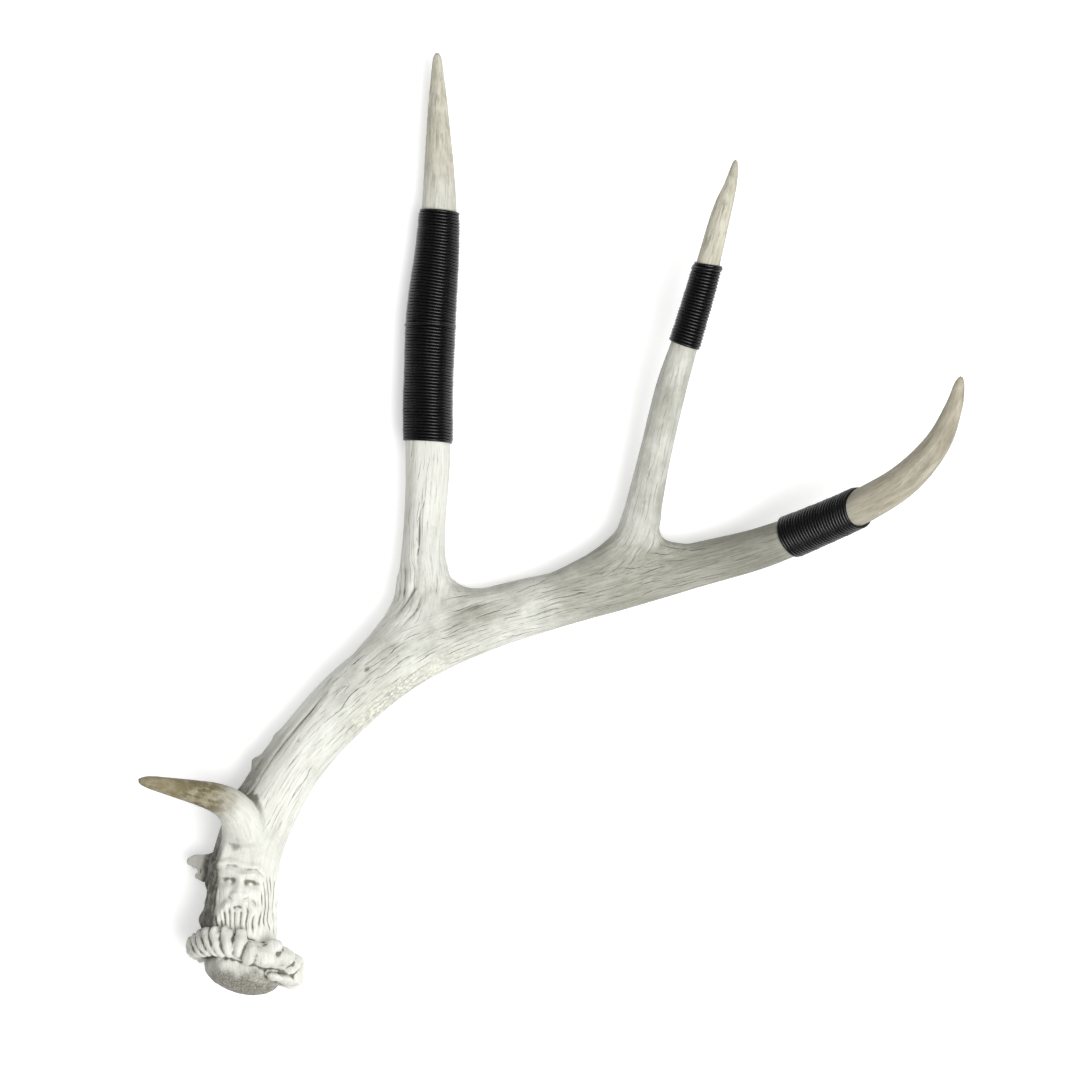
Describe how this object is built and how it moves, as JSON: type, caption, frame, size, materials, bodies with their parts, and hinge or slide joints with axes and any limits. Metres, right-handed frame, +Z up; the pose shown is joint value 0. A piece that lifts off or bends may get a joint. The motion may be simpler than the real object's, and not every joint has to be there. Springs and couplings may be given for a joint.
{
  "type": "deer antler",
  "caption": "Shed deer antler lying on its outer side, bleached bone with a knobbly burr, a curved beam and pointed tines, the tines and beam tip wound with black cord.",
  "frame": {"origin": "middle of the footprint's bounding box, on the surface the antler lies on", "axes": "+X from the burr out along the beam, +Y from the burr towards the tips of the tines, +Z up from the surface"},
  "size_m": [0.3742, 0.4408, 0.0808],
  "materials": {
    "bone": "matte",
    "cord": "satin"
  },
  "bodies": {
    "root": {"beam": "bone", "brow_tine": "bone", "long_tine": "bone", "short_tine": "bone", "long_tine_winding": "cord", "short_tine_winding": "cord", "beam_tip_winding": "cord"}
  },
  "joints": []
}
